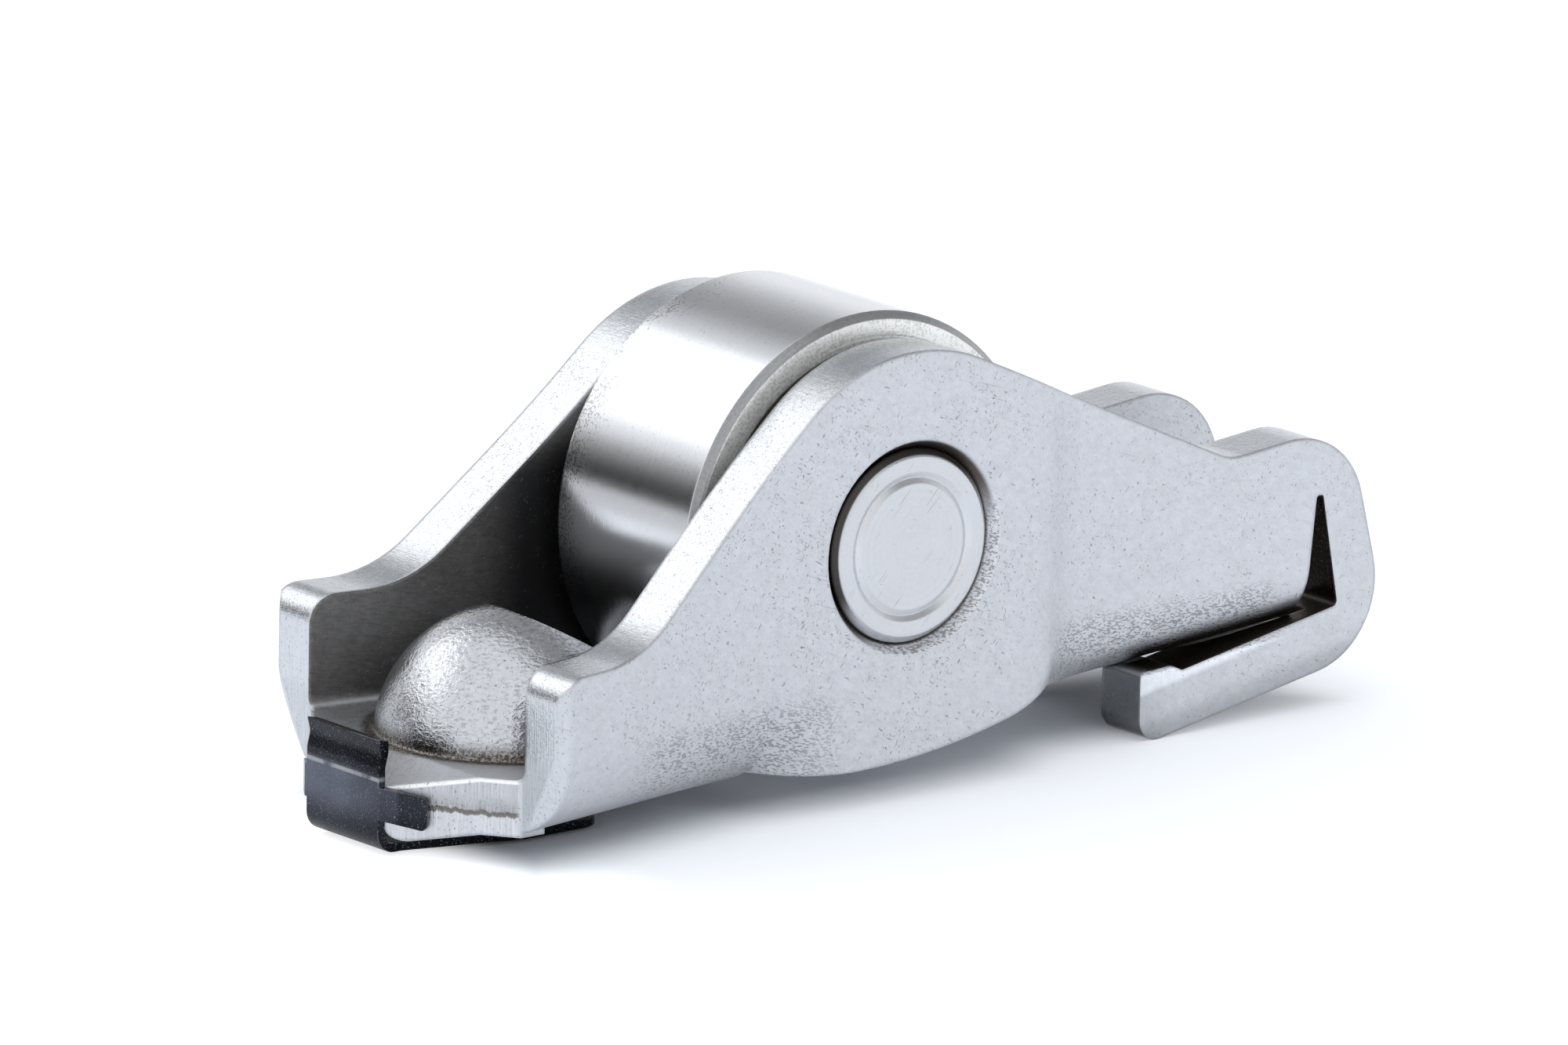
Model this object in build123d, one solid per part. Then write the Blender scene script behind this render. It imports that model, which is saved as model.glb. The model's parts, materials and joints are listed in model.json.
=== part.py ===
from build123d import *
import math
import os

os.makedirs("parts", exist_ok=True)

# Roller finger follower: a stamped sheet steel rocker arm with a needle roller
# and a spring clip that holds it on its pivot. X runs along the arm from the pivot
# end to the valve end, Y across it, Z up. It is modelled about the axle and then
# set down on the plane it rests on. Millimetres.

# Sheet
wall = 2.45
web = 2.35

# Axle, needles and roller
pin_radius = 4.0
pin_recess = 0.08
pin_chamfer = 0.3
stake_inner = 2.6
stake_outer = 3.1
stake_depth = 0.16
countersink = 0.42
countersink_depth = 0.6
needle_radius = 1.0
needle_length = 8.2
needle_spacing = 0.05
running_clearance = 0.02
roller_radius = 9.05
roller_width = 8.85
roller_edge = 0.3
roller_side_step = 1.15
roller_step_depth = 0.12
roller_side_gap = 0.675
roller_window_gap = 1.0
roller_pocket_gap = 0.45

# Side view of the walls, measured from the axle
boss_radius = 8.1
front_reach = 19.4
front_edge_lean = 15.0
front_edge_straight = 2.4
front_corner = 0.5
ledge_drop = 2.25
ledge_end = 14.9
ledge_corner = 1.2
ledge_curve = 5.5
valley_reach = 18.0
valley_rise = 0.7
valley_curve = 2.5
hump_angle = 5.7
hook_reach = 24.4
hook_lean = 14.2
hook_curve = 3.6
belly_drop = 8.93
belly_low_point = 3.3
belly_front_rise = 0.28
belly_rear_rise = 2.04

# Plan view of the walls
flare_angle = 9.5
flare_start = 7.4
flare_curve = 30.0
jog_start = 6.35
jog_length = 3.6
jog_curve = 7.0
valve_guide_gap = 6.9

# Pivot end: web, nose and socket
web_drop = 9.25
pivot_bend = 3.8
pivot_reach = 14.6
socket_radius = 3.9
socket_depth = 1.85
socket_mouth = 0.5
dome_wall = 1.65
dome_relief_angle = 31.0
dome_relief_depth = 1.05
nose_length = 3.35
nose_bend_back = 2.35
nose_droop = 0.7
nose_root_half = 6.9
nose_tip_half = 2.35

# Valve end: pad, slot and guide lugs
pad_drop = 8.1
pad_slope = 4.3
valve_bend = 2.5
sharp_bend = 0.5
bend_runout = 50.0
slit_setback = 1.62
slit_width = 0.34
slit_top_drop = 1.5
slit_spread = 1.05
slit_left_lean = 0.106
lug_start = 13.4
lug_rake = 10.6
lug_foot_drop = 10.73
lug_height = 2.5
lug_corner = 0.9
lug_tooth_length = 1.6
lug_tooth_height = 0.6
lug_clearance = 0.12

# Spring clip on the nose
clip_sheet = 0.35
clip_half = 2.33
clip_top_rise = 1.95
clip_bend = 0.85
clip_foot_gap = 0.08
clip_leg_length = 9.2
clip_leg_half = 3.8
clip_leg_widening = 5.2
clip_neck = 3.0
clip_mouth_half = 2.6
prong_length = 1.85
prong_height = 1.35
prong_drop = 0.3
prong_corner = 0.25

# Sizes that follow from those above
half_mid = roller_width / 2 + roller_side_gap + wall
half_valve = valve_guide_gap / 2 + wall
slit_reach = hook_reach - slit_setback
web_top = -web_drop + web
window_radius = roller_radius + roller_window_gap
window_front = -math.sqrt(window_radius**2 - web_top**2)
window_rear = math.sqrt(window_radius**2 - (pad_drop - web) ** 2)
pad_line = -pad_drop - math.tan(math.radians(pad_slope)) * window_rear
jog_end = jog_start + jog_length
overrun = 10.0
above = boss_radius + overrun
below = lug_foot_drop + overrun


def outline(corners):
    """A closed side or plan view from corners given as (across, up, corner radius)."""
    points = [(u, v) for u, v, radius in corners]
    radii = [radius for u, v, radius in corners]
    return make_face(FilletPolyline(*points, radius=radii, close=True))


def across(face, half_width=4 * half_mid):
    """A side view pushed out across the arm, the same on both sides."""
    return extrude(Plane.XZ * face, amount=half_width, both=True)


def along_x(start, end):
    """Everything between two stations along the arm."""
    return Pos((start + end) / 2, 0, 0) * Box(end - start, 8 * half_mid, 4 * below)


def meet(p, p_angle, q, q_angle):
    """Where two lines cross, each given by a point and its angle in degrees."""
    px, py = math.cos(math.radians(p_angle)), math.sin(math.radians(p_angle))
    qx, qy = math.cos(math.radians(q_angle)), math.sin(math.radians(q_angle))
    run = ((q[0] - p[0]) * qy - (q[1] - p[1]) * qx) / (px * qy - py * qx)
    return p[0] + run * px, p[1] + run * py


def skyline():
    """Side view of the whole stamping above its lowest edges: ledge, roller boss, valley, hook."""
    ledge = (-ledge_end, -ledge_drop)
    valley = (valley_reach, valley_rise)
    front_climb = math.degrees(math.atan2(ledge_drop, ledge_end) + math.asin(boss_radius / math.hypot(*ledge)))
    rear_fall = math.degrees(math.asin(boss_radius / math.hypot(*valley)) - math.atan2(valley_rise, valley_reach))
    apex = meet(ledge, front_climb, valley, 180 - rear_fall)
    hook_top = meet(valley, hump_angle, (hook_reach, valley_rise), hook_lean - 90)
    heel = meet(hook_top, hook_lean - 90, (lug_start, -lug_foot_drop), lug_rake)
    return outline([
        (-front_reach, -below, 0),
        (-front_reach, -ledge_drop, ledge_corner),
        (*ledge, ledge_curve),
        (*apex, boss_radius),
        (*valley, valley_curve),
        (*hook_top, hook_curve),
        (*heel, hook_curve),
        (lug_start, -lug_foot_drop, 0),
        (lug_start, -below, 0),
    ])


def plan(inset=0.0):
    """Plan view of the stamping: flared at the pivot, straight past the roller, narrow at the valve."""
    front = -front_reach - overrun
    flare = math.tan(math.radians(flare_angle)) * (-front - flare_start)
    half = [
        (front, half_mid + flare, 0),
        (-flare_start, half_mid, flare_curve),
        (jog_start, half_mid, jog_curve),
        (jog_end, half_valve, jog_curve),
        (hook_reach + overrun, half_valve, 0),
    ]
    other_half = [(x, -y, radius) for x, y, radius in reversed(half)]
    full = outline(half + other_half)
    return offset(full, amount=-inset, kind=Kind.INTERSECTION) if inset else full


def column(inset=0.0):
    """The plan view as an upright prism, inset by a wall where it is the hollow."""
    return Pos(0, 0, -below) * extrude(plan(inset), amount=above + below)


def trough(start, end, bottom, slope, bend, inset=0.0):
    """A prism with the plan outline and rounded lower edges; its underside meets the axle plane at bottom."""
    rise = math.tan(math.radians(slope))
    side = outline([
        (start, bottom + rise * start, 0), (end, bottom + rise * end, 0), (end, above, 0), (start, above, 0)])
    prism = column(inset) & across(side)
    underside = prism.faces().sort_by(Axis.Z)[0]
    long_edges = [edge for edge in underside.edges() if abs((edge % 0.5).X) > 0.5]
    return fillet(long_edges, bend) if bend else prism


def channel(start, end, bottom, slope, outer_bend, inner_bend):
    """Both walls and the web between them, bent up from one sheet."""
    near = min(start, 0)
    far = max(end, 0)
    outer = trough(near, far, bottom, slope, outer_bend)
    hollow = trough(near - wall, far + wall, bottom + web, slope, inner_bend, inset=wall)
    return (outer - hollow) & along_x(start, end)


def nose():
    """The tongue in front of the walls that carries the clip: angled flanks and a slight droop."""
    root = -front_reach + 0.5 * web
    tip = -front_reach - nose_length
    knee = tip + nose_bend_back
    side = outline([
        (root, -web_drop, 0), (knee, -web_drop, 0), (tip, -web_drop - nose_droop, 0.5),
        (tip, web_top - nose_droop, 0), (knee, web_top, 0), (root, web_top, 0),
    ])
    top = make_face(Polyline(
        (root, nose_root_half), (-front_reach, nose_root_half), (tip, nose_tip_half),
        (tip, -nose_tip_half), (-front_reach, -nose_root_half), (root, -nose_root_half), close=True))
    return across(side) & Pos(0, 0, -below) * extrude(top, amount=below)


def front_lean():
    """What is cut from the near wall's front: its broken corner and the lean to its lower outer side."""
    half_front = half_mid + math.tan(math.radians(flare_angle)) * (front_reach - flare_start)
    top = Vector(-front_reach, -half_front, -ledge_drop - front_edge_straight)
    inside = Vector(-front_reach, -half_front + wall, -web_drop)
    outside = Vector(-front_reach, -half_front, -web_drop)
    outside += Vector(math.tan(math.radians(front_edge_lean)) * (top.Z + web_drop), 0, 0)
    leaning = (inside - top).cross(outside - top)
    broken = Vector(-front_reach, -half_front + front_corner, top.Z)
    cuts = Plane(origin=top, z_dir=leaning), Plane(origin=broken, z_dir=(-1, -1, 0))
    return [cut * Pos(0, 0, wall) * Box(4 * web_drop, 4 * web_drop, 2 * wall) for cut in cuts]


def socket():
    """The dome over the pivot ball and the ball seat inside it."""
    centre = Location((-pivot_reach, 0, -web_drop + socket_depth))
    dome_radius = socket_radius + dome_wall
    dome = centre * Sphere(dome_radius)
    tilt = math.radians(dome_relief_angle)
    lift = dome_radius - dome_relief_depth
    flat = Plane(
        origin=(centre.position.X + lift * math.sin(tilt), 0, centre.position.Z + lift * math.cos(tilt)),
        z_dir=(math.sin(tilt), 0, math.cos(tilt)))
    relief = flat * Pos(0, 0, dome_radius / 2) * Box(4 * dome_radius, 4 * dome_radius, dome_radius)
    dome = dome - relief - Pos(0, 0, -web_drop - above) * Box(8 * front_reach, 8 * front_reach, 2 * above)
    seat = centre * Sphere(socket_radius)
    entry = Pos(-pivot_reach, 0, -web_drop + socket_depth / 2) * Cylinder(socket_radius, socket_depth)
    flared = Pos(-pivot_reach, 0, -web_drop + socket_mouth / 2) * Cone(
        socket_radius + socket_mouth, socket_radius, socket_mouth)
    return dome, seat + entry + flared


def lug_region():
    """Side view of what stays one plate with the wall past the slot: hook and guide lug."""
    rake = math.radians(lug_rake)
    foot = (lug_start, -lug_foot_drop + lug_height)
    slit_foot = slit_reach + slit_spread
    heel_inside = (slit_foot, foot[1] + math.tan(rake) * (slit_foot - lug_start))
    tooth_root = lug_start + lug_tooth_length + lug_tooth_height
    top_of_slit = -slit_top_drop
    return outline([
        (slit_reach, above, 0),
        (hook_reach + overrun, above, 0),
        (hook_reach + overrun, -lug_foot_drop + math.tan(rake) * (hook_reach + overrun - lug_start), 0),
        (lug_start, -lug_foot_drop, lug_corner),
        (lug_start, foot[1] + lug_tooth_height, 0.3),
        (lug_start + lug_tooth_length, foot[1] + lug_tooth_height + 0.1, 0.3),
        (tooth_root, foot[1] + math.tan(rake) * (tooth_root - lug_start), 0.25),
        (*heel_inside, 0.25),
        (slit_reach + slit_width / 2, top_of_slit, 0.4 * slit_width),
        (slit_reach, top_of_slit, 0),
    ])


def slit_left_of_centre():
    """Side view of the half of the slit that is cut from the channel's end."""
    left = slit_reach - slit_width / 2
    depth = below - slit_top_drop
    return outline([
        (slit_reach, -slit_top_drop, 0),
        (left, -slit_top_drop, 0.4 * slit_width),
        (left - slit_left_lean * depth, -below, 0),
        (hook_reach + overrun, -below, 0),
        (hook_reach + overrun, -slit_top_drop, 0),
    ])


def belly():
    """Side view of the flat walls beside the roller, with their rounded lower edge."""
    start = (window_front, -belly_drop + belly_front_rise)
    end = (window_rear, -belly_drop + belly_rear_rise)
    edge = ThreePointArc(start, (-belly_low_point, -belly_drop), end)
    rest = Polyline(end, (window_rear, above), (window_front, above), start)
    return make_face(edge + rest)


def roller_pocket():
    """Room for the roller between the walls, also where they step inwards."""
    return Rot(90, 0, 0) * Cylinder(roller_radius + roller_pocket_gap, 2 * (half_mid - wall))


def pin_holes():
    """The bore through both walls for the axle, countersunk outside for the staking."""
    bore = Rot(90, 0, 0) * Cylinder(pin_radius, 4 * half_mid)
    sink = Pos(0, 0, half_mid - countersink_depth / 2) * Cone(
        pin_radius, pin_radius + countersink, countersink_depth)
    return bore + Rot(90, 0, 0) * sink + Rot(-90, 0, 0) * sink


def flat_walls():
    """The walls beside the roller window, where both bends run out into flat plate."""
    steep = math.tan(math.radians(bend_runout))
    front = trough(-front_reach, 0, -web_drop + steep * window_front, -bend_runout, pivot_bend)
    rear = trough(0, 2 * window_rear, -pad_drop - steep * window_rear, bend_runout, valve_bend)
    side = across(belly())
    front = (front - column(wall)) & side & along_x(window_front, 0)
    rear = (rear - column(wall)) & side & along_x(0, window_rear)
    return front + rear


def arm_body():
    """The stamping, one piece: channel at each end, flat walls beside the roller, hooks and lugs."""
    pivot_end = channel(-front_reach - overrun / 2, window_front, -web_drop, 0, pivot_bend, sharp_bend)
    valve_end = channel(window_rear, slit_reach, pad_line, pad_slope, valve_bend, 0)
    valve_end -= across(slit_left_of_centre())
    lug_space = trough(0, slit_reach, pad_line - lug_clearance, pad_slope, valve_bend)
    hooks = ((column() - column(wall)) & across(lug_region())) - lug_space
    dome, seat = socket()
    body = (pivot_end + flat_walls() + valve_end + hooks) & across(skyline())
    for cut in front_lean():
        body -= cut
        body -= mirror(cut, Plane.XZ)
    return body + nose() + dome - seat - roller_pocket() - pin_holes()


def axle_pin():
    """The staked axle: chamfered ends, each with the shallow ring that the staking tool leaves."""
    half = half_mid - pin_recess
    ring = make_face(Polyline(
        (stake_inner, half), ((stake_inner + stake_outer) / 2, half - stake_depth), (stake_outer, half), close=True))
    groove = revolve(Plane.XZ * ring, Axis.Z)
    pin = Cylinder(pin_radius, 2 * half)
    pin = chamfer(pin.edges().filter_by(GeomType.CIRCLE), pin_chamfer)
    pin = pin - groove - mirror(groove, Plane.XY)
    return Rot(90, 0, 0) * pin


needle_orbit = pin_radius + running_clearance + needle_radius
roller_bore = needle_orbit + needle_radius + running_clearance
needle_count = int(math.pi / math.asin((needle_radius + needle_spacing / 2) / needle_orbit))


def roller():
    """The hardened outer ring that the cam runs on."""
    half = roller_width / 2
    shoulder = roller_radius - roller_edge - roller_side_step
    side = [
        (roller_bore, half - roller_step_depth, 0),
        (shoulder, half - roller_step_depth, 0),
        (shoulder + roller_step_depth, half, 0),
        (roller_radius - roller_edge, half, 0),
        (roller_radius, half - roller_edge, 0),
    ]
    other_side = [(r, -y, 0) for r, y, bend in reversed(side)]
    return Rot(90, 0, 0) * revolve(Plane.XZ * outline(side + other_side), Axis.Z)


def needle(index):
    """One bearing needle of the full set between the axle and the roller."""
    turn = 360 / needle_count * index
    rod = Rot(90, 0, 0) * Cylinder(needle_radius, needle_length)
    return Rot(0, turn, 0) * Pos(needle_orbit, 0, 0) * rod


def clip_leg(inner, foot):
    """The clip's lower leg under the web, widened and forked around the pivot's neck."""
    rear = inner + clip_leg_length
    wide = inner + clip_leg_widening
    top = outline([
        (inner, clip_half, 0), (wide, clip_leg_half, 1.0), (rear, clip_leg_half, 1.0),
        (rear, -clip_leg_half, 1.0), (wide, -clip_leg_half, 1.0), (inner, -clip_half, 0),
    ])
    neck = Pos(-pivot_reach, 0) * Circle(clip_neck)
    mouth = Pos(-pivot_reach + front_reach / 2, 0) * Rectangle(front_reach, 2 * clip_mouth_half)
    return Pos(0, 0, foot) * extrude(top - neck - mouth, amount=clip_sheet)


def prong(front):
    """One side prong, folded back round the nose's corner along its near flank."""
    angle = -math.degrees(math.atan2(nose_root_half - nose_tip_half, nose_length))
    back = (math.cos(math.radians(angle)), math.sin(math.radians(angle)))
    corner = (front, -nose_tip_half)
    end = (corner[0] + prong_length * back[0], corner[1] + prong_length * back[1])
    end_outside = (end[0] + clip_sheet * back[1], end[1] - clip_sheet * back[0])
    fold = meet((front - clip_sheet, 0), 90, end_outside, angle)
    band = make_face(Polyline(
        (front, 0), corner, end, end_outside, fold, (front - clip_sheet, 0), close=True))
    top = web_top - nose_droop
    edge = outline([
        (-clip_half, top, 0), (0, top, 0), (prong_length, top - prong_drop, prong_corner),
        (prong_length, top - prong_drop - prong_height, prong_corner), (0, top - prong_height, 0),
        (-clip_half, top - prong_height, 0),
    ])
    strip = Pos(0, 0, -below) * extrude(band, amount=below)
    return strip & Pos(*corner, 0) * Rot(0, 0, angle) * across(edge)


def retaining_clip():
    """The spring clip: front plate with a hooked top, two prongs and the forked lower leg."""
    inner = -front_reach - nose_length
    outer = inner - clip_sheet
    foot = -web_drop - nose_droop - clip_foot_gap - clip_sheet
    top = web_top - nose_droop + clip_top_rise
    side = outline([
        (inner + clip_bend, foot, 0), (outer, foot, clip_bend), (outer, top - 1.2, 0.6), (outer + 0.15, top - 0.6, 0.5),
        (outer, top, 0), (outer + clip_sheet + 0.15, top - 0.1, 0), (inner + 0.15, top - 0.6, 0.5),
        (inner, top - 1.2, 0.6), (inner, foot + clip_sheet, clip_bend - clip_sheet), (inner + clip_bend, foot + clip_sheet, 0),
    ])
    plate = across(side, clip_half)
    near = prong(inner)
    return plate + clip_leg(inner + clip_bend, foot) + near + mirror(near, Plane.XZ)


pieces = {
    "arm_body": arm_body(),
    "axle_pin": axle_pin(),
    "roller": roller(),
    "retaining_clip": retaining_clip(),
}
for index in range(needle_count):
    pieces[f"needle_{index + 1:02d}"] = needle(index)

# Set down on the resting plane, centred over it
box = Compound(children=[Compound(shape.solids()) for shape in pieces.values()]).bounding_box()
rest = Pos(-(box.min.X + box.max.X) / 2, 0, -box.min.Z)
for name, shape in pieces.items():
    export_step(rest * shape, f"parts/{name}.step")

print("axle at", rest.position, "needles", needle_count)
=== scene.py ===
import json
import math

import bpy
from mathutils import Matrix, Vector

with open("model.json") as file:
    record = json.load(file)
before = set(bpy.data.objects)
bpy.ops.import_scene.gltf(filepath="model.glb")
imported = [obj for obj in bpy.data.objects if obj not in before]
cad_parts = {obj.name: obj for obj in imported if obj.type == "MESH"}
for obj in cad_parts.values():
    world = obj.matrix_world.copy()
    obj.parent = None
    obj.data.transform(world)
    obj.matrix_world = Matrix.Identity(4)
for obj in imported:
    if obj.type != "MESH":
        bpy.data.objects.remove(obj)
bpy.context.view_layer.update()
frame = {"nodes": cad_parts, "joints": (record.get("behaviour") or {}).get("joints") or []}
print("frame loaded:", len(frame["nodes"]), "nodes")

mm = 0.001  # every size below is in millimetres, and every place is measured from the axle
axle = Vector(frame["joints"][0]["pos_m"])  # middle of the axle


# Shader maths

class Wire:
    def __init__(self, tree, socket):
        self.tree = tree
        self.socket = socket

    def math(self, operation, *values):
        return addNode(self.tree, "ShaderNodeMath", {"operation": operation}, dict(enumerate(values)))

    def __add__(self, other):
        return self.math("ADD", self, other)

    def __radd__(self, other):
        return self.math("ADD", other, self)

    def __sub__(self, other):
        return self.math("SUBTRACT", self, other)

    def __rsub__(self, other):
        return self.math("SUBTRACT", other, self)

    def __mul__(self, other):
        return self.math("MULTIPLY", self, other)

    def __rmul__(self, other):
        return self.math("MULTIPLY", other, self)

    def __abs__(self):
        return self.math("ABSOLUTE", self)


def addNode(tree, kind, settings=None, values=None, output=0):
    # settings go on the node first, then the values or links of its sockets
    node = tree.nodes.new(kind)
    for name, value in (settings or {}).items():
        setattr(node, name, value)
    for name, value in (values or {}).items():
        if isinstance(value, Wire):
            tree.links.new(value.socket, node.inputs[name])
        else:
            node.inputs[name].default_value = value
    return Wire(tree, node.outputs[output]) if node.outputs else None


def outputs(wire, *names):
    # further outputs of the node that a wire comes from
    return [Wire(wire.tree, wire.socket.node.outputs[name]) for name in names]


def softStep(tree, value, low, high):
    # 0 at low, 1 at high, smooth between; low may be the larger one
    if low > high:
        return 1 - softStep(tree, value, high, low)
    return addNode(tree, "ShaderNodeMapRange", {"interpolation_type": "SMOOTHSTEP"},
                   {"Value": value, "From Min": low, "From Max": high})


class Finish:
    # one material under construction; its fields are named measures, patterns and masks
    def __init__(self, name, s):
        self.material = bpy.data.materials.new(name)
        self.material.use_nodes = True
        self.tree = self.material.node_tree
        self.tree.nodes.clear()
        point = self.add("ShaderNodeTexCoord", output="Object")
        fromAxle = self.add("ShaderNodeVectorMath", {"operation": "SUBTRACT"}, {0: point, 1: axle})
        self.place = self.add("ShaderNodeVectorMath", {"operation": "SCALE"}, {0: fromAxle, "Scale": 1 / mm})
        self.normal = self.add("ShaderNodeNewGeometry", output="Normal")
        names = ("x", "y", "z", "facingX", "facingY", "facingZ")
        self.fields = dict(zip(names, self.split(self.place) + self.split(self.normal)))
        self.fields["radius"] = self.distance((0, 0, 0), (1, 0, 1))
        self.fields["halfWidth"] = abs(self.fields["y"])
        self.fields["sideways"] = abs(self.fields["facingY"])
        self.fields["level"] = abs(self.fields["facingZ"])
        for name, pattern in s.get("patterns", {}).items():
            self.fields[name] = self.noise(**pattern)
        for name, shares in s.get("blends", {}).items():
            self.fields[name] = self.blend(shares)

    def add(self, kind, settings=None, values=None, output=0):
        return addNode(self.tree, kind, settings, values, output)

    def split(self, vector):
        return outputs(self.add("ShaderNodeSeparateXYZ", None, {0: vector}), 0, 1, 2)

    def step(self, value, low, high):
        return softStep(self.tree, value, low, high)

    def larger(self, a, b):
        return self.add("ShaderNodeMath", {"operation": "MAXIMUM"}, {0: a, 1: b})

    def distance(self, centre, stretch=(1, 1, 1)):
        away = self.add("ShaderNodeVectorMath", {"operation": "SUBTRACT"}, {0: self.place, 1: centre})
        scaled = self.add("ShaderNodeVectorMath", {"operation": "MULTIPLY"}, {0: away, 1: stretch})
        return self.add("ShaderNodeVectorMath", {"operation": "LENGTH"}, {0: scaled}, "Value")

    def noise(self, size, detail=2.0, rough=0.5, stretch=(1, 1, 1), turn=(0, 0, 0), seed=0.0):
        # cloud pattern whose features are about size millimetres, longer along its turned axes by the stretch
        moved = self.add("ShaderNodeMapping", {"vector_type": "TEXTURE"}, {
            "Vector": self.place, "Location": (seed, 2 * seed, 3 * seed), "Rotation": turn,
            "Scale": tuple(size * s for s in stretch)})
        return self.add("ShaderNodeTexNoise", None, {
            "Vector": moved, "Scale": 1.0, "Detail": detail, "Roughness": rough})

    def dashes(self, kinds, fade=0.05):
        # sparse straight nicks; each kind has a width, length, direction, rarity and seed
        total = 0.0
        for width, length, turn, rarity, seed in kinds:
            field = self.noise(width, 0.0, 0.5, (length / width, 1, 1), turn, seed)
            total = total + self.step(field, rarity, rarity + fade)
        return total

    def rings(self, pitch):
        # turned tool marks round the axle
        return self.add("ShaderNodeTexNoise", {"noise_dimensions": "1D"}, {
            "W": self.fields["radius"] * (1 / pitch), "Scale": 1.0, "Detail": 2.0})

    def blend(self, shares):
        # a plain number plus shares of other fields
        total = shares.get("plain", 0.0)
        for name, share in shares.items():
            if name != "plain":
                total = total + share * self.fields[name]
        return total

    def locate(self, places):
        # masks; each place has soft edges on some fields, from outside to inside, and may lie within another
        for name, edges in places.items():
            mask = 1.0
            for field, pairs in edges.items():
                if field == "within":
                    mask = mask * self.fields[pairs]
                else:
                    for pair in pairs:
                        mask = mask * self.step(self.fields[field], *pair)
            self.fields[name] = mask

    def mix(self, amount, a, b):
        return self.add("ShaderNodeMix", {"data_type": "RGBA"}, {0: amount, 6: a, 7: b}, 2)

    def tint(self, colour, value):
        # a colour made lighter or darker by a number
        shade = self.add("ShaderNodeCombineColor", None, {0: value, 1: value, 2: value})
        return self.add("ShaderNodeMix", {"data_type": "RGBA", "blend_type": "MULTIPLY"}, {
            0: 1.0, 6: colour, 7: shade}, 2)

    def paint(self, colour, layers, amounts):
        # colours laid over a ground, each through the mask of its name
        for name, over in layers:
            colour = self.mix(amounts.get(name, 1.0) * self.fields[name], colour, over)
        return colour

    def roundEdge(self, radius):
        return self.add("ShaderNodeBevel", {"samples": 6}, {"Radius": radius * mm})

    def finish(self, s, colour, edge=None, metallic=1.0):
        # the settings hold the shares of roughness and height
        values = {"Height": self.blend(s["height"]), "Distance": s["depth"] * mm, "Strength": 1.0}
        if edge is not None:
            values["Normal"] = edge
        shader = self.add("ShaderNodeBsdfPrincipled", None, {
            "Base Color": colour, "Roughness": self.blend(s["roughness"]), "Metallic": metallic,
            "Normal": self.add("ShaderNodeBump", None, values)})
        return self.surface(shader)

    def surface(self, shader):
        self.add("ShaderNodeOutputMaterial", None, {"Surface": shader})
        return self.material


def grey(value, warm=0.0):
    return (value * (1 + warm), value, value * (1 - warm), 1.0)


# The stamping

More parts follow.
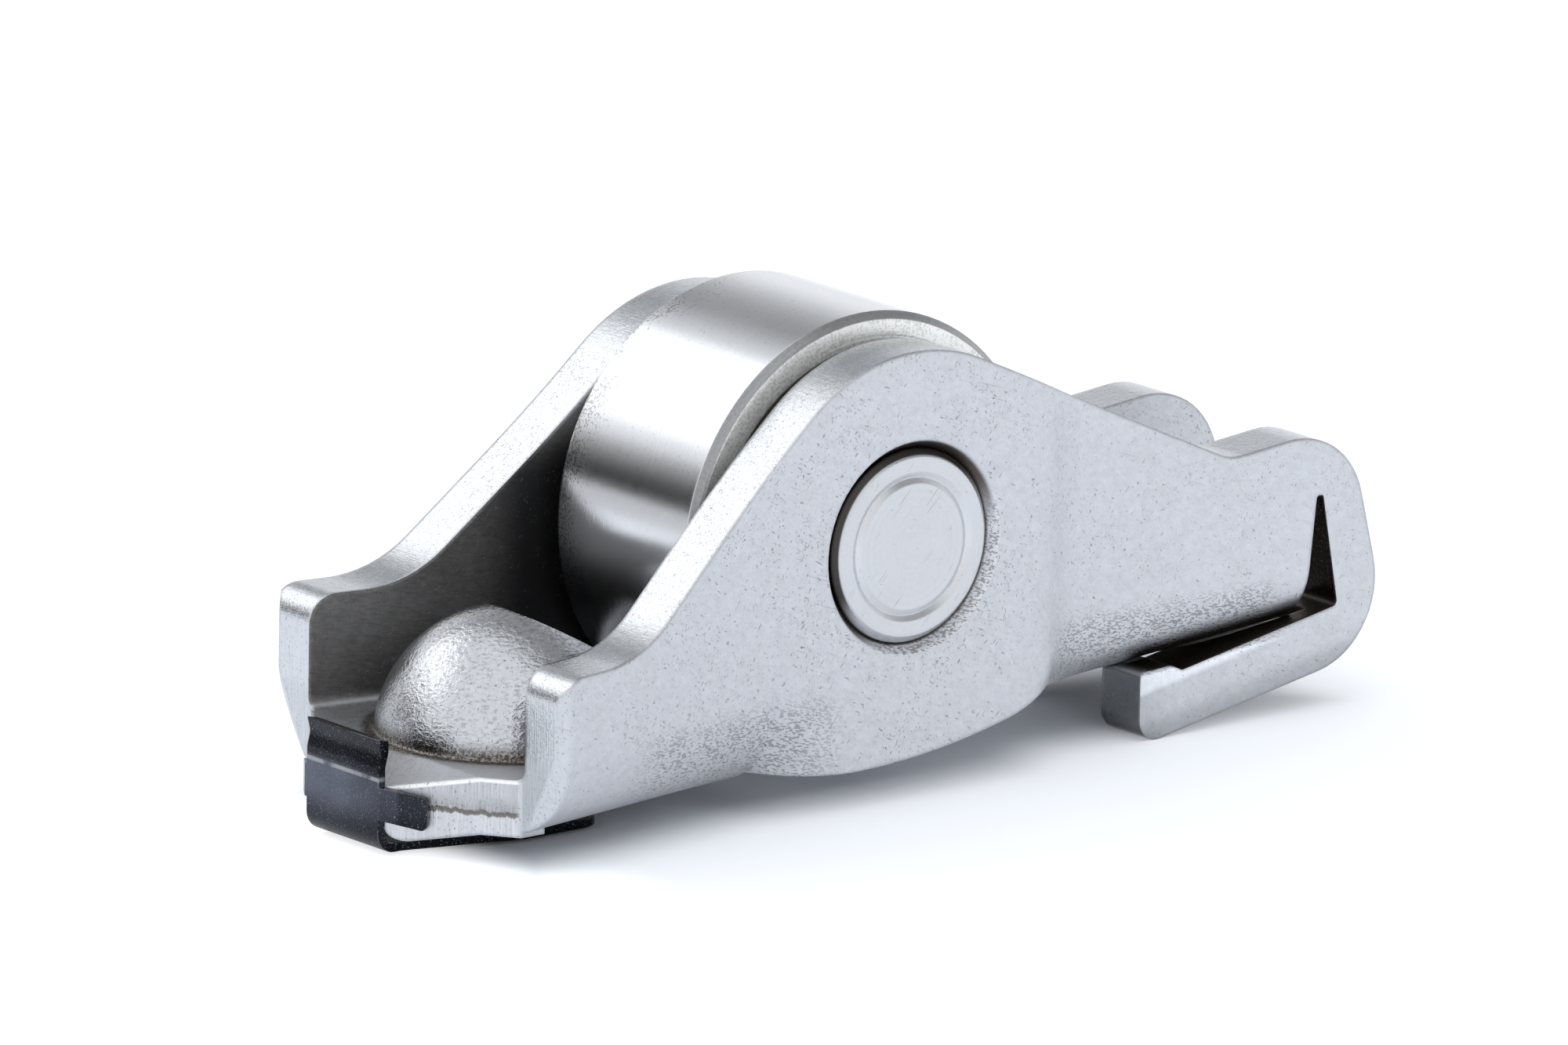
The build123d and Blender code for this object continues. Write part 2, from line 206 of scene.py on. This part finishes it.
stamping = {
    "steel": (0.59, 0.602, 0.63, 1.0),
    "shearSteel": (0.6, 0.618, 0.645, 1.0),
    "innerShadeSteel": (0.23, 0.225, 0.22, 1.0),
    "pocketShadow": (0.05, 0.05, 0.052, 1.0),
    "slotShade": (0.07, 0.06, 0.05, 1.0),
    # real oil, also used for painted shadow and shade
    "oilAndShade": (0.1, 0.078, 0.055, 1.0),
    "streak": (0.2, 0.2, 0.21, 1.0),
    "shine": grey(0.95),
    "pit": grey(0.25),
    "nick": grey(0.16),
    "scuff": grey(0.3),
    "edgeRound": 0.26,
    "depth": 0.006,
    "domeCentre": (-14.6, 0.0, -7.4),
    "domeRadius": 5.55,
    "footGap": 0.15,  # the oil round the dome's foot, outside its radius
    "holeRadius": 4.0,
    "sinkRadius": 4.42,
    "webTop": -6.9,
    "noseKnee": -20.4,
    "noseSlope": 0.298,
    "tornLine": -8.35,
    "tornWander": 0.35,
    "bendSeam": -7.31,
    "patterns": {
        "cloud": {"size": 4.0, "detail": 3.0},
        "mottle": {"size": 0.5, "rough": 0.6, "seed": 3},
        "grain": {"size": 0.11, "rough": 0.6},
        "tumble": {"size": 0.28, "detail": 3.0, "rough": 0.65, "stretch": (1.6, 1, 1),
                   "turn": (0, 0.4, 0), "seed": 31},
        "peel": {"size": 0.15, "rough": 0.6, "stretch": (1.9, 1.5, 0.8), "seed": 12},
        "skin": {"size": 0.085, "detail": 1.0, "stretch": (2.4, 1.6, 0.9), "turn": (0, 0.2, 0), "seed": 18},
        "drawn": {"size": 0.07, "rough": 0.6, "stretch": (1, 16, 1), "seed": 5},
        "combed": {"size": 0.07, "rough": 0.6, "stretch": (1, 1, 22), "seed": 9},
        "rubbed": {"size": 0.1, "rough": 0.6, "stretch": (9, 1, 1), "turn": (0, 0.15, 0), "seed": 40},
        "wander": {"size": 0.25, "rough": 0.6, "stretch": (1, 1, 4), "seed": 14},
        "patches": {"size": 2.6, "detail": 1.0, "seed": 2},
        "pitting": {"size": 0.1, "detail": 1.0, "stretch": (1.8, 1, 1), "turn": (0, 0.7, 0), "seed": 44},
    },
    "blends": {
        "lowerRight": {"x": 0.62, "z": -0.78},
        "domeBack": {"x": 1.0, "y": -0.5, "z": -0.6},
        "domeTurn": {"facingX": -0.78, "facingY": 0.63},
        "overWeb": {"z": 1.0, "x": -0.075},
        "overLug": {"z": 1.0, "x": -0.187},
        "speckle": {"grain": 1.0, "mottle": 0.6},
        "tearing": {"skin": 1.0, "mottle": 0.25},
        "smearing": {"combed": 1.0, "mottle": 0.4},
    },
    "places": {
        "outside": {"outward": [(0.6, 0.9)]},
        "inside": {"outward": [(-0.6, -0.9)]},
        # painted shade on the inner faces of the walls, darker towards the bottom, and a painted shadow just
        # in front of the roller
        "shadedInnerWall": {"within": "inside", "x": [(4.0, 0.0)], "z": [(5.5, 2.5)]},
        "shadedPocket": {"x": [(-12.5, -9.5)], "z": [(4.0, 1.5)]},
        "sheared": {"sideways": [(0.4, 0.15)], "z": [(-6.4, -5.6)]},
        "front": {"facingX": [(-0.6, -0.85)], "x": [(-18.6, -18.9)]},
        "dome": {"overDome": [(0.25, 0.1)], "overTop": [(0.0, 0.3)]},
        "domeShade": {"within": "dome", "domeBack": [(-13.0, -7.0)]},
        "domeRimShade": {"within": "dome", "domeTurn": [(0.55, 0.95)]},
        "domeFoot": {"within": "dome", "z": [(-4.0, -6.2)]},
        "domeSkin": {"within": "dome", "peel": [(0.46, 0.36)]},
        "footOil": {"fromFoot": [(0.5, 0.1)], "z": [(-6.0, -6.75)]},
        "footGrain": {"grain": [(0.4, 0.6)]},
        "webOil": {"facingZ": [(0.8, 0.95)], "z": [(-4.0, -4.4)], "x": [(-8.0, -9.0)], "y": [(-5.0, 1.0)],
                   "speckle": [(0.7, 0.95)]},
        "flank": {"x": [(-19.42, -19.55)], "z": [(-6.7, -7.0)], "level": [(0.4, 0.2)]},
        "torn": {"overTorn": [(0.03, -0.03)]},
        "tornLip": {"within": "flank", "fromTorn": [(0.14, 0.05)]},
        # painted shade just above the torn line
        "overTornShade": {"within": "flank", "overTorn": [(0.9, 0.0), (-0.03, 0.03)], "smearing": [(0.5, 0.8)]},
        "noseShine": {"within": "flank", "overNose": [(-0.2, -0.12)]},
        "sink": {"pastSink": [(-0.02, -0.14)], "halfWidth": [(6.6, 6.8)]},
        "sinkShade": {"lowerRight": [(2.6, 0.2)]},
        "gap": {"pastHole": [(0.16, 0.08)]},
        "sinkShine": {"pastSink": [(0.1, 0.0)], "halfWidth": [(6.6, 6.8)], "lowerRight": [(0.2, 2.6)]},
        "sinkOil": {"within": "sinkShine", "skin": [(0.46, 0.6)]},
        "slit": {"x": [(21.3, 21.7), (24.1, 23.9)], "z": [(-1.2, -1.6)], "sideways": [(0.7, 0.5)]},
        "slot": {"x": [(13.2, 14.2)], "z": [(-8.9, -8.6), (-5.6, -6.2)], "level": [(0.55, 0.75)]},
        "frontBend": {"z": [(-4.9, -6.6)], "x": [(-2.6, -6.0), (-15.5, -13.0)]},
        "rearBend": {"z": [(-4.3, -5.6)], "x": [(7.6, 9.4), (21.5, 19.5)], "overWeb": [(-8.85, -8.7)]},
        "tornSkin": {"facingZ": [(0.5, 0.2)], "outward": [(-0.2, 0.1)], "tearing": [(0.655, 0.745)]},
        "lug": {"overWeb": [(-8.7, -8.85)], "x": [(12.0, 13.2)]},
        "lugStart": {"x": [(15.5, 13.2)]},
        "lugFoot": {"overLug": [(-11.9, -13.1)]},
        "lugFront": {"facingX": [(-0.5, -0.8)]},
        "lugTop": {"overLug": [(-11.25, -10.95)], "outward": [(0.6, 0.8)]},
        "patchy": {"patches": [(0.42, 0.6)]},
        "pits": {"pitting": [(0.68, 0.74)]},
        "seam": {"fromSeam": [(0.5, 0.35)], "outward": [(0.2, 0.5)]},
    },
    "nicks": [(0.085, 0.25, (0, 0.5, 0), 0.79, 1), (0.08, 0.28, (0, -0.9, 0), 0.8, 6)],
    "dents": [(0.07, 0.14, (0, 1.9, 0), 0.76, 15)],
    "scuffs": [(0.06, 1.4, (0, 0.35, 0), 0.78, 8), (0.05, 1.8, (0, -0.55, 0), 0.79, 21)],
    "shades": {
        "ground": {"plain": 0.66, "cloud": 0.07, "mottle": 0.1, "tumble": 0.3, "grain": 0.22},
        "sheared": {"plain": 0.76, "drawn": 0.26, "tumble": 0.16, "mottle": 0.08},
        "front": {"plain": 0.74, "combed": 0.4, "tumble": 0.12},
        "shadedInnerWall": {"plain": 0.35, "mottle": 0.5, "rubbed": 0.8},
        "dome": {"plain": 0.78, "peel": 0.44, "domeShade": -0.3, "domeRimShade": -0.3},
        "domeStreaks": {"plain": 0.3, "domeShade": 0.4},
        "footOil": {"plain": 0.6, "footGrain": 0.5},
        "flank": {"plain": 0.6, "combed": 0.62, "torn": 0.16},
        "lug": {"lugStart": 0.16, "lugFoot": 0.3, "lugFront": 0.45, "lugTop": -0.45},
        "sinkShine": {"plain": 1.05, "skin": 0.8},
    },
    "amounts": {"webOil": 0.35, "tears": 0.6, "sinkOil": 0.6, "sinkShadow": 0.92, "patchyPits": 0.4,
                "nicks": 0.5, "outerScuffs": 0.3},
    "lipDarkness": 0.8,
    "smudgeShade": 0.5,
    "roughness": {"plain": 0.35, "cloud": 0.06, "grain": 0.1, "inside": 0.06, "sinkShine": 0.2,
                  "sheared": -0.28, "shearTumble": 0.2, "dome": -0.27, "domeFoot": 0.1},
    "height": {"grain": 1.0, "mottle": 0.8, "tumble": 0.9, "nicks": -2.5, "pits": -1.5, "scuffs": -0.6,
               "tears": -4.0, "domePeel": 6.5, "shearDrawn": 1.0, "shearTumble": 1.5,
               "combedEnds": 2.0, "lipLedge": -6.0},
}


def stampingFinish(s):
    f = Finish("stamped steel", s)
    p = f.fields

    # where on the part
    p["outward"] = p["facingY"] * f.add("ShaderNodeMath", {"operation": "SIGN"}, {0: p["y"]})
    p["overDome"] = f.distance(s["domeCentre"]) - s["domeRadius"]
    p["fromFoot"] = abs(p["overDome"] - s["footGap"])
    p["overTop"] = p["z"] - s["webTop"]
    p["overNose"] = p["overTop"] + s["noseSlope"] * f.larger(0.0, s["noseKnee"] - p["x"])
    p["overTorn"] = p["z"] - s["tornLine"] - s["tornWander"] * (p["wander"] - 0.5)
    p["fromTorn"] = abs(p["overTorn"])
    p["pastSink"] = p["radius"] - s["sinkRadius"]
    p["pastHole"] = p["radius"] - s["holeRadius"]
    p["fromSeam"] = abs(p["x"] - s["bendSeam"])
    f.locate(s["places"])

    # the sheet's skin tears into short streaks on the outside of its bends
    p["tears"] = f.larger(p["frontBend"], p["rearBend"]) * p["tornSkin"]
    # the dark line along the torn edge of the nose flank, and painted shade just above it
    p["tornLineAndShade"] = f.larger(s["lipDarkness"] * p["tornLip"], s["smudgeShade"] * p["overTornShade"])
    # painted shadow in the countersink, on its upper left and in the gap round the pin
    p["sinkShadow"] = p["sink"] * f.larger(p["sinkShade"], p["gap"])
    # painted shade inside the slit and the slot
    p["shadedOpenings"] = f.larger(p["slit"], p["slot"])
    # streaks on the dome, darker where its painted shade falls
    p["domeStreaks"] = p["domeSkin"] * f.blend(s["shades"]["domeStreaks"])
    p["footOil"] = p["footOil"] * f.blend(s["shades"]["footOil"])

    # pits and nicks of tumbling
    p["patchyPits"] = p["pits"] * p["patchy"]
    p["nicks"] = f.dashes(s["nicks"]) + f.dashes(s["dents"]) * p["patchy"]
    p["scuffs"] = f.dashes(s["scuffs"]) * p["patchy"]
    p["outerScuffs"] = p["scuffs"] * p["outside"]

    # what raises the surface in one place only
    p["domePeel"] = p["dome"] * p["peel"]
    p["shearDrawn"] = p["sheared"] * p["drawn"]
    p["shearTumble"] = p["sheared"] * p["tumble"]
    p["combedEnds"] = f.larger(p["front"], p["flank"]) * p["combed"]
    p["lipLedge"] = p["flank"] * p["tornLip"]

    def shaded(place, steel):
        return f.tint(s[steel], f.blend(s["shades"][place]))

    # painted shade on the inner faces of the walls, with rubbed scratches in it, and a near-black painted
    # shadow just in front of the roller
    shadedInnerWall = f.mix(p["shadedPocket"], shaded("shadedInnerWall", "innerShadeSteel"), s["pocketShadow"])
    colour = f.paint(shaded("ground", "steel"), [
        ("sheared", shaded("sheared", "shearSteel")),
        ("front", shaded("front", "shearSteel")),
        ("shadedInnerWall", shadedInnerWall),
        # the dome with painted shade towards its rear and along its left edge
        ("dome", shaded("dome", "steel")),
        ("domeStreaks", s["streak"]),
        ("webOil", s["oilAndShade"]),
        ("flank", shaded("flank", "steel")),
        ("noseShine", s["shine"]),
        ("tornLineAndShade", s["oilAndShade"]),
        ("tears", s["streak"]),
    ], s["amounts"])
    # painted shade on the lug's start, foot and front face, and a painted highlight along its top edge
    colour = f.tint(colour, 1 - p["lug"] * f.blend(s["shades"]["lug"]))
    colour = f.paint(colour, [
        ("shadedOpenings", s["slotShade"]),
        ("footOil", s["oilAndShade"]),
        # painted highlight on the countersink's lower right, and painted shadow on its upper left and round
        # the pin
        ("sinkShine", shaded("sinkShine", "steel")),
        ("sinkOil", s["oilAndShade"]),
        ("sinkShadow", s["oilAndShade"]),
        ("patchyPits", s["pit"]),
        ("nicks", s["nick"]),
        ("outerScuffs", s["scuff"]),
    ], s["amounts"])

    # the plain normal along the seam where the front bend ends, so that the rounding shows no line there
    edge = f.add("ShaderNodeMix", {"data_type": "VECTOR"}, {
        0: p["seam"], 4: f.roundEdge(s["edgeRound"]), 5: f.normal}, 1)
    return f.finish(s, colour, edge)


# The roller

roller = {
    "steel": (0.69, 0.7, 0.725, 1.0),
    "sideSteel": (0.65, 0.655, 0.63, 1.0),
    "chamferShade": (0.16, 0.165, 0.18, 1.0),
    # real oil on the side, also used for the painted shade line at the shoulder
    "oilAndShade": (0.2, 0.16, 0.11, 1.0),
    "dustGrey": grey(0.25, 0.02),
    "edgeRound": 0.18,
    "depth": 0.003,
    "shoulder": 7.6,
    "chamfer": 8.75,
    "turnPitch": 0.11,
    "sideMetal": 0.55,
    "patterns": {
        "brush": {"size": 0.05, "detail": 3.0, "rough": 0.7, "stretch": (60, 1, 60), "seed": 3},
        "cloud": {"size": 2.2, "seed": 1},
        "specks": {"size": 0.11, "detail": 1.0, "rough": 0.4, "seed": 8},
    },
    "blends": {"speckle": {"specks": 1.0, "cloud": 0.4}},
    "places": {
        "side": {"sideways": [(0.5, 0.8)]},
        "farBand": {"y": [(1.8, 3.9)], "x": [(0.5, -2.5)]},
        "dustCloud": {"within": "farBand", "cloud": [(0.35, 0.55)]},
        "rim": {"within": "side", "pastShoulder": [(0.0, 0.3)]},
        "chamfer": {"pastChamfer": [(-0.04, 0.04)], "sideways": [(0.4, 0.6)]},
        "sideOil": {"within": "side", "speckle": [(0.66, 0.8)]},
        "shoulderShade": {"within": "side", "fromShoulder": [(0.2, 0.08)]},
    },
    "dustiness": {"specks": 1.0, "dustCloud": 0.2},
    "dustEdges": (0.68, 0.74),
    "dustAmount": {"plain": 0.3, "farBand": 0.35},
    "ground": {"plain": 0.96, "brush": 0.08},
    "sides": {"plain": 0.7, "turned": 0.5, "rim": 0.7},
    "amounts": {"sideOil": 0.3, "shoulderShade": 0.9, "chamfer": 0.75},
    "roughness": {"plain": 0.09, "brush": 0.08, "cloud": 0.06, "side": 0.3, "rim": -0.15},
    "height": {"rollBrush": 1.0, "sideTurned": 3.0},
}


def rollerFinish(s):
    f = Finish("ground roller steel", s)
    p = f.fields
    p["pastShoulder"] = p["radius"] - s["shoulder"]
    p["fromShoulder"] = abs(p["pastShoulder"])
    p["pastChamfer"] = p["radius"] - s["chamfer"]
    p["turned"] = f.rings(s["turnPitch"])
    f.locate(s["places"])
    band = 1 - p["side"]
    p["dust"] = f.step(f.blend(s["dustiness"]), *s["dustEdges"]) * band * f.blend(s["dustAmount"])
    p["rollBrush"] = p["brush"] * band
    p["sideTurned"] = p["side"] * p["turned"]
    colour = f.paint(f.tint(s["steel"], f.blend(s["ground"])), [
        ("dust", s["dustGrey"]),
        ("side", f.tint(s["sideSteel"], f.blend(s["sides"]))),
        ("sideOil", s["oilAndShade"]),
        # a thin painted shade line at the shoulder step
        ("shoulderShade", s["oilAndShade"]),
        # painted shade on the chamfer
        ("chamfer", s["chamferShade"]),
    ], s["amounts"])
    return f.finish(s, colour, f.roundEdge(s["edgeRound"]), 1 - (1 - s["sideMetal"]) * p["side"])


# Axle and needles

axlePin = {
    "steel": (0.62, 0.632, 0.655, 1.0),
    "nick": grey(0.25),
    "rimShadow": grey(0.035, 0.15),
    "edgeRound": 0.1,
    "depth": 0.005,
    "radius": 4.0,
    "stake": 2.85,
    "turnPitch": 0.16,
    "patterns": {
        "cloud": {"size": 1.3, "detail": 3.0, "seed": 5},
        "grain": {"size": 0.14, "rough": 0.6, "seed": 3},
    },
    "blends": {"lowerRight": {"x": 0.62, "z": -0.78}},
    "places": {
        "rim": {"pastEdge": [(-0.26, -0.2)], "lowerRight": [(0.8, -1.0)]},
        "ring": {"fromStake": [(0.3, 0.16)]},
    },
    "nicks": [(0.07, 0.25, (0, 0.5, 0), 0.79, 2), (0.05, 1.0, (0, -0.8, 0), 0.79, 5)],
    "ground": {"plain": 0.84, "cloud": 0.12, "turned": 0.06, "ring": 0.05, "grain": 0.12},
    "amounts": {"nicks": 0.4, "rim": 0.95},
    "roughness": {"plain": 0.29, "cloud": 0.1, "grain": 0.08, "ring": -0.06},
    "height": {"grain": 1.0, "turned": 0.8, "nicks": -0.8},
}


def axleFinish(s):
    f = Finish("staked axle steel", s)
    p = f.fields
    p["pastEdge"] = p["radius"] - s["radius"]
    p["fromStake"] = abs(p["radius"] - s["stake"])
    p["turned"] = f.rings(s["turnPitch"])
    p["nicks"] = f.dashes(s["nicks"])
    f.locate(s["places"])
    # a painted shadow round the pin's upper left edge
    layers = [("nicks", s["nick"]), ("rim", s["rimShadow"])]
    colour = f.paint(f.tint(s["steel"], f.blend(s["ground"])), layers, s["amounts"])
    return f.finish(s, colour, f.roundEdge(s["edgeRound"]))


needle = {
    "steel": grey(0.68),
    "depth": 0.003,
    "patterns": {"brush": {"size": 0.05, "rough": 0.6, "stretch": (1, 30, 1)}},
    "ground": {"plain": 0.9, "brush": 0.2},
    "roughness": {"plain": 0.2, "brush": 0.1},
    "height": {"brush": 1.0},
}


def needleFinish(s):
    f = Finish("needle steel", s)
    return f.finish(s, f.tint(s["steel"], f.blend(s["ground"])))


# The clip

clip = {
    "steel": (0.092, 0.1, 0.128, 1.0),
    "wornAndHighlight": grey(0.5),
    "edgeRound": 0.09,
    "depth": 0.008,
    "ridge": -7.3,
    "patterns": {
        "cloud": {"size": 1.2, "detail": 3.0, "seed": 2},
        "grain": {"size": 0.12, "rough": 0.6},
    },
    "places": {
        "wear": {"onEdge": [(0.96, 0.8)], "cloud": [(0.46, 0.6)]},
        "band": {"z": [(-7.35, -7.0)]},
        "ridge": {"fromRidge": [(0.12, 0.04)], "cloud": [(0.3, 0.5)]},
        "folded": {"x": [(-22.75, -22.6)]},
        "lower": {"z": [(-9.6, -8.2)]},
        "nearSide": {"y": [(0.8, -2.4)]},
    },
    "scuffs": [(0.05, 1.2, (0.3, 0.2, 0.5), 0.71, 1), (0.05, 0.8, (1.2, -0.4, 0.2), 0.72, 4)],
    "chips": [(0.07, 0.1, (0, 0, 0), 0.76, 9)],
    "shades": [
        {"plain": 0.6, "cloud": 0.5},
        {"plain": 1.0, "band": -0.8},
        {"plain": 1.0, "folded": -0.5},
        {"plain": 0.4, "lower": 0.8},
        {"plain": 1.1, "nearSide": -0.5},
    ],
    "amounts": {"ridge": 0.5, "scuffs": 0.16},
    "wearAmount": 0.35,
    "chipAmount": 0.4,
    "roughness": {"plain": 0.17, "grain": 0.12, "cloud": 0.08},
    "height": {"grain": 1.0, "cloud": 0.6},
}


def clipFinish(s):
    f = Finish("blackened spring steel", s)
    p = f.fields
    edge = f.roundEdge(s["edgeRound"])
    p["onEdge"] = f.add("ShaderNodeVectorMath", {"operation": "DOT_PRODUCT"}, {0: edge, 1: f.normal}, "Value")
    p["fromRidge"] = abs(p["z"] - s["ridge"])
    p["scuffs"] = f.dashes(s["scuffs"])
    f.locate(s["places"])
    p["bare"] = f.larger(s["wearAmount"] * p["wear"], s["chipAmount"] * f.dashes(s["chips"]))
    # a cloudy ground, a painted dark reflection on the band at the top, the folded prong darker, painted
    # shade towards the bottom, and darker towards the near side
    colour = f.tint(s["steel"], math.prod(f.blend(shares) for shares in s["shades"]))
    # a painted highlight along the ridge, and real wear: scuffs and bare edges
    colour = f.paint(colour, [(name, s["wornAndHighlight"]) for name in ("ridge", "scuffs", "bare")], s["amounts"])
    return f.finish(s, colour, edge)


def dress(names, material):
    for name in names:
        mesh = frame["nodes"][name].data
        mesh.materials.clear()
        mesh.materials.append(material)


dress(["arm_body"], stampingFinish(stamping))
dress(["roller"], rollerFinish(roller))
dress(["axle_pin"], axleFinish(axlePin))
dress(["retaining_clip"], clipFinish(clip))
dress([name for name in frame["nodes"] if name.startswith("needle")], needleFinish(needle))
print("materials made")


# Floor, flag and softbox

def facing(s):
    # a frame away from the part that looks back at it
    place = Vector(s["toward"]).normalized() * s["away"] * mm + axle
    turn = (axle - place).to_track_quat("-Z", "Y").to_matrix().to_4x4()
    return Matrix.Translation(place) @ turn


def stagePlane(name, size, matrix, material):
    bpy.ops.mesh.primitive_plane_add(size=1)
    plane = bpy.context.object
    plane.name = name
    plane.data.transform(matrix @ Matrix.Diagonal((size[0] * mm, size[1] * mm, 1, 1)))
    plane.data.materials.append(material)
    return plane


paper = {
    "size": (6000.0, 6000.0),
    "colour": (0.845, 0.875, 0.925, 1.0),
    "duskGrey": grey(0.7),
    "glow": 0.28,
    # painted light that lifts the floor around the front of the clip, for the camera alone
    "clipGlow": 0.45,
    "halfWidth": 7.5,  # of the part's own footprint, which flares in front and narrows behind
    "flareFrom": -7.4,
    "flare": 0.17,
    "narrowing": 1.6,
    "blends": {"towardFlag": {"x": -0.62, "y": 0.78}},
    "places": {
        "narrow": {"x": [(6.0, 10.0)]},
        "inFront": {"x": [(-17.5, -21.5)]},
        "behind": {"x": [(21.5, 25.5)]},
        "dusk": {"towardFlag": [(80.0, 150.0)]},
        "underClip": {"x": [(-15.0, -21.0)]},
    },
    "besideEdges": (-4.0, 0.8),
}


def paperFinish(s):
    # paper that clips to white away from the part and keeps the part's shadow
    f = Finish("pale floor", s)
    p = f.fields
    f.locate(s["places"])
    direct, shiny = outputs(f.add("ShaderNodeLightPath"), "Is Camera Ray", "Is Glossy Ray")
    half = s["halfWidth"] + s["flare"] * f.larger(0.0, s["flareFrom"] - p["x"]) - s["narrowing"] * p["narrow"]
    beside = f.step(p["halfWidth"] - half, *s["besideEdges"])
    away = f.larger(beside, f.larger(p["inFront"], p["behind"]))
    # painted shade: towards the flag the paper turns grey in mirrored rays; painted light around the front of
    # the clip, for the camera
    dusk = shiny * p["dusk"]
    level = f.larger(direct, shiny) * (1 - dusk) * s["glow"] + direct * s["clipGlow"] * p["underClip"]
    sheet = f.add("ShaderNodeBsdfDiffuse", None, {"Color": f.mix(dusk, s["colour"], s["duskGrey"])})
    glow = f.add("ShaderNodeEmission", None, {"Color": f.mix(away, grey(0.0), grey(1.0)), "Strength": level})
    return f.surface(f.add("ShaderNodeAddShader", None, {0: sheet, 1: glow}))


stagePlane("floor", paper["size"], Matrix.Identity(4), paperFinish(paper))

darkFlag = {
    "toward": (-0.64, 0.754, 0.17),
    "away": 520.0,
    "size": (300.0, 150.0),
    "foot": grey(0.02),
    "top": grey(0.5),
    "fade": (60.0, 165.0),
}


def flagFinish(s):
    # dark at its foot, fading towards the softbox above it
    f = Finish("dark flag", s)
    colour = f.mix(f.step(f.fields["z"], *s["fade"]), s["foot"], s["top"])
    return f.surface(f.add("ShaderNodeEmission", None, {"Color": colour, "Strength": 1.0}))


flag = stagePlane("flag", darkFlag["size"], facing(darkFlag), flagFinish(darkFlag))
flag.visible_camera = False
flag.visible_shadow = False
flag.visible_diffuse = False

softbox = {
    "toward": (-0.39, 0.7, 0.6),
    "away": 620.0,
    "size": (520.0, 270.0),
    "power": 0.37,
}
lampData = bpy.data.lights.new("softbox", "AREA")
lampData.shape = "RECTANGLE"
lampData.size, lampData.size_y = (side * mm for side in softbox["size"])
lampData.energy = softbox["power"]
lamp = bpy.data.objects.new("softbox", lampData)
bpy.context.collection.objects.link(lamp)
lamp.matrix_world = facing(softbox)

# The sky: white to the camera, plain on dull surfaces, and with a darker upper right in mirrored rays
sky = {
    "white": grey(1.0),
    "tint": (0.985, 1.0, 1.02, 1.0),
    "diffuse": 0.97,
    "level": 1.04,
    "rightLevel": 0.36,
    "rightEdges": (-0.02, 0.34),
    "highEdges": (0.18, 0.6),
}
world = bpy.data.worlds.new("studio")
bpy.context.scene.world = world
world.use_nodes = True
tree = world.node_tree
tree.nodes.clear()
seen, shiny = outputs(addNode(tree, "ShaderNodeLightPath"), "Is Camera Ray", "Is Glossy Ray")
heading = addNode(tree, "ShaderNodeTexCoord", output="Generated")
right, upward = outputs(addNode(tree, "ShaderNodeSeparateXYZ", None, {0: heading}), 0, 2)
upperRight = softStep(tree, right, *sky["rightEdges"]) * softStep(tree, upward, *sky["highEdges"])
mirrored = sky["level"] + upperRight * (sky["rightLevel"] - sky["level"])
level = seen + (1 - seen) * (shiny * mirrored + (1 - shiny) * sky["diffuse"])
tinted = addNode(tree, "ShaderNodeMix", {"data_type": "RGBA"}, {0: seen, 6: sky["tint"], 7: sky["white"]}, 2)
background = addNode(tree, "ShaderNodeBackground", None, {"Color": tinted, "Strength": level})
addNode(tree, "ShaderNodeOutputWorld", None, {"Surface": background})

# The camera stands where the photograph was taken; its clipping distances are in metres
view = {
    "lens": 516.31,
    "sensor": 36,
    "place": (-555.001, -686.346, 224.088),
    "target": (-0.45, 0.236, -0.531),
    "roll": 0.953,
    "clip": (0.05, 20),
}
cameraData = bpy.data.cameras.new("camera")
cameraData.sensor_width = view["sensor"]
cameraData.lens = view["lens"]
cameraData.clip_start, cameraData.clip_end = view["clip"]
camera = bpy.data.objects.new("camera", cameraData)
bpy.context.collection.objects.link(camera)
place = axle + Vector(view["place"]) * mm
aim = (axle + Vector(view["target"]) * mm - place).to_track_quat("-Z", "Y").to_matrix().to_4x4()
camera.matrix_world = Matrix.Translation(place) @ aim @ Matrix.Rotation(math.radians(view["roll"]), 4, "Z")
bpy.context.scene.camera = camera
bpy.context.scene.view_settings.view_transform = "Standard"
print("studio ready")
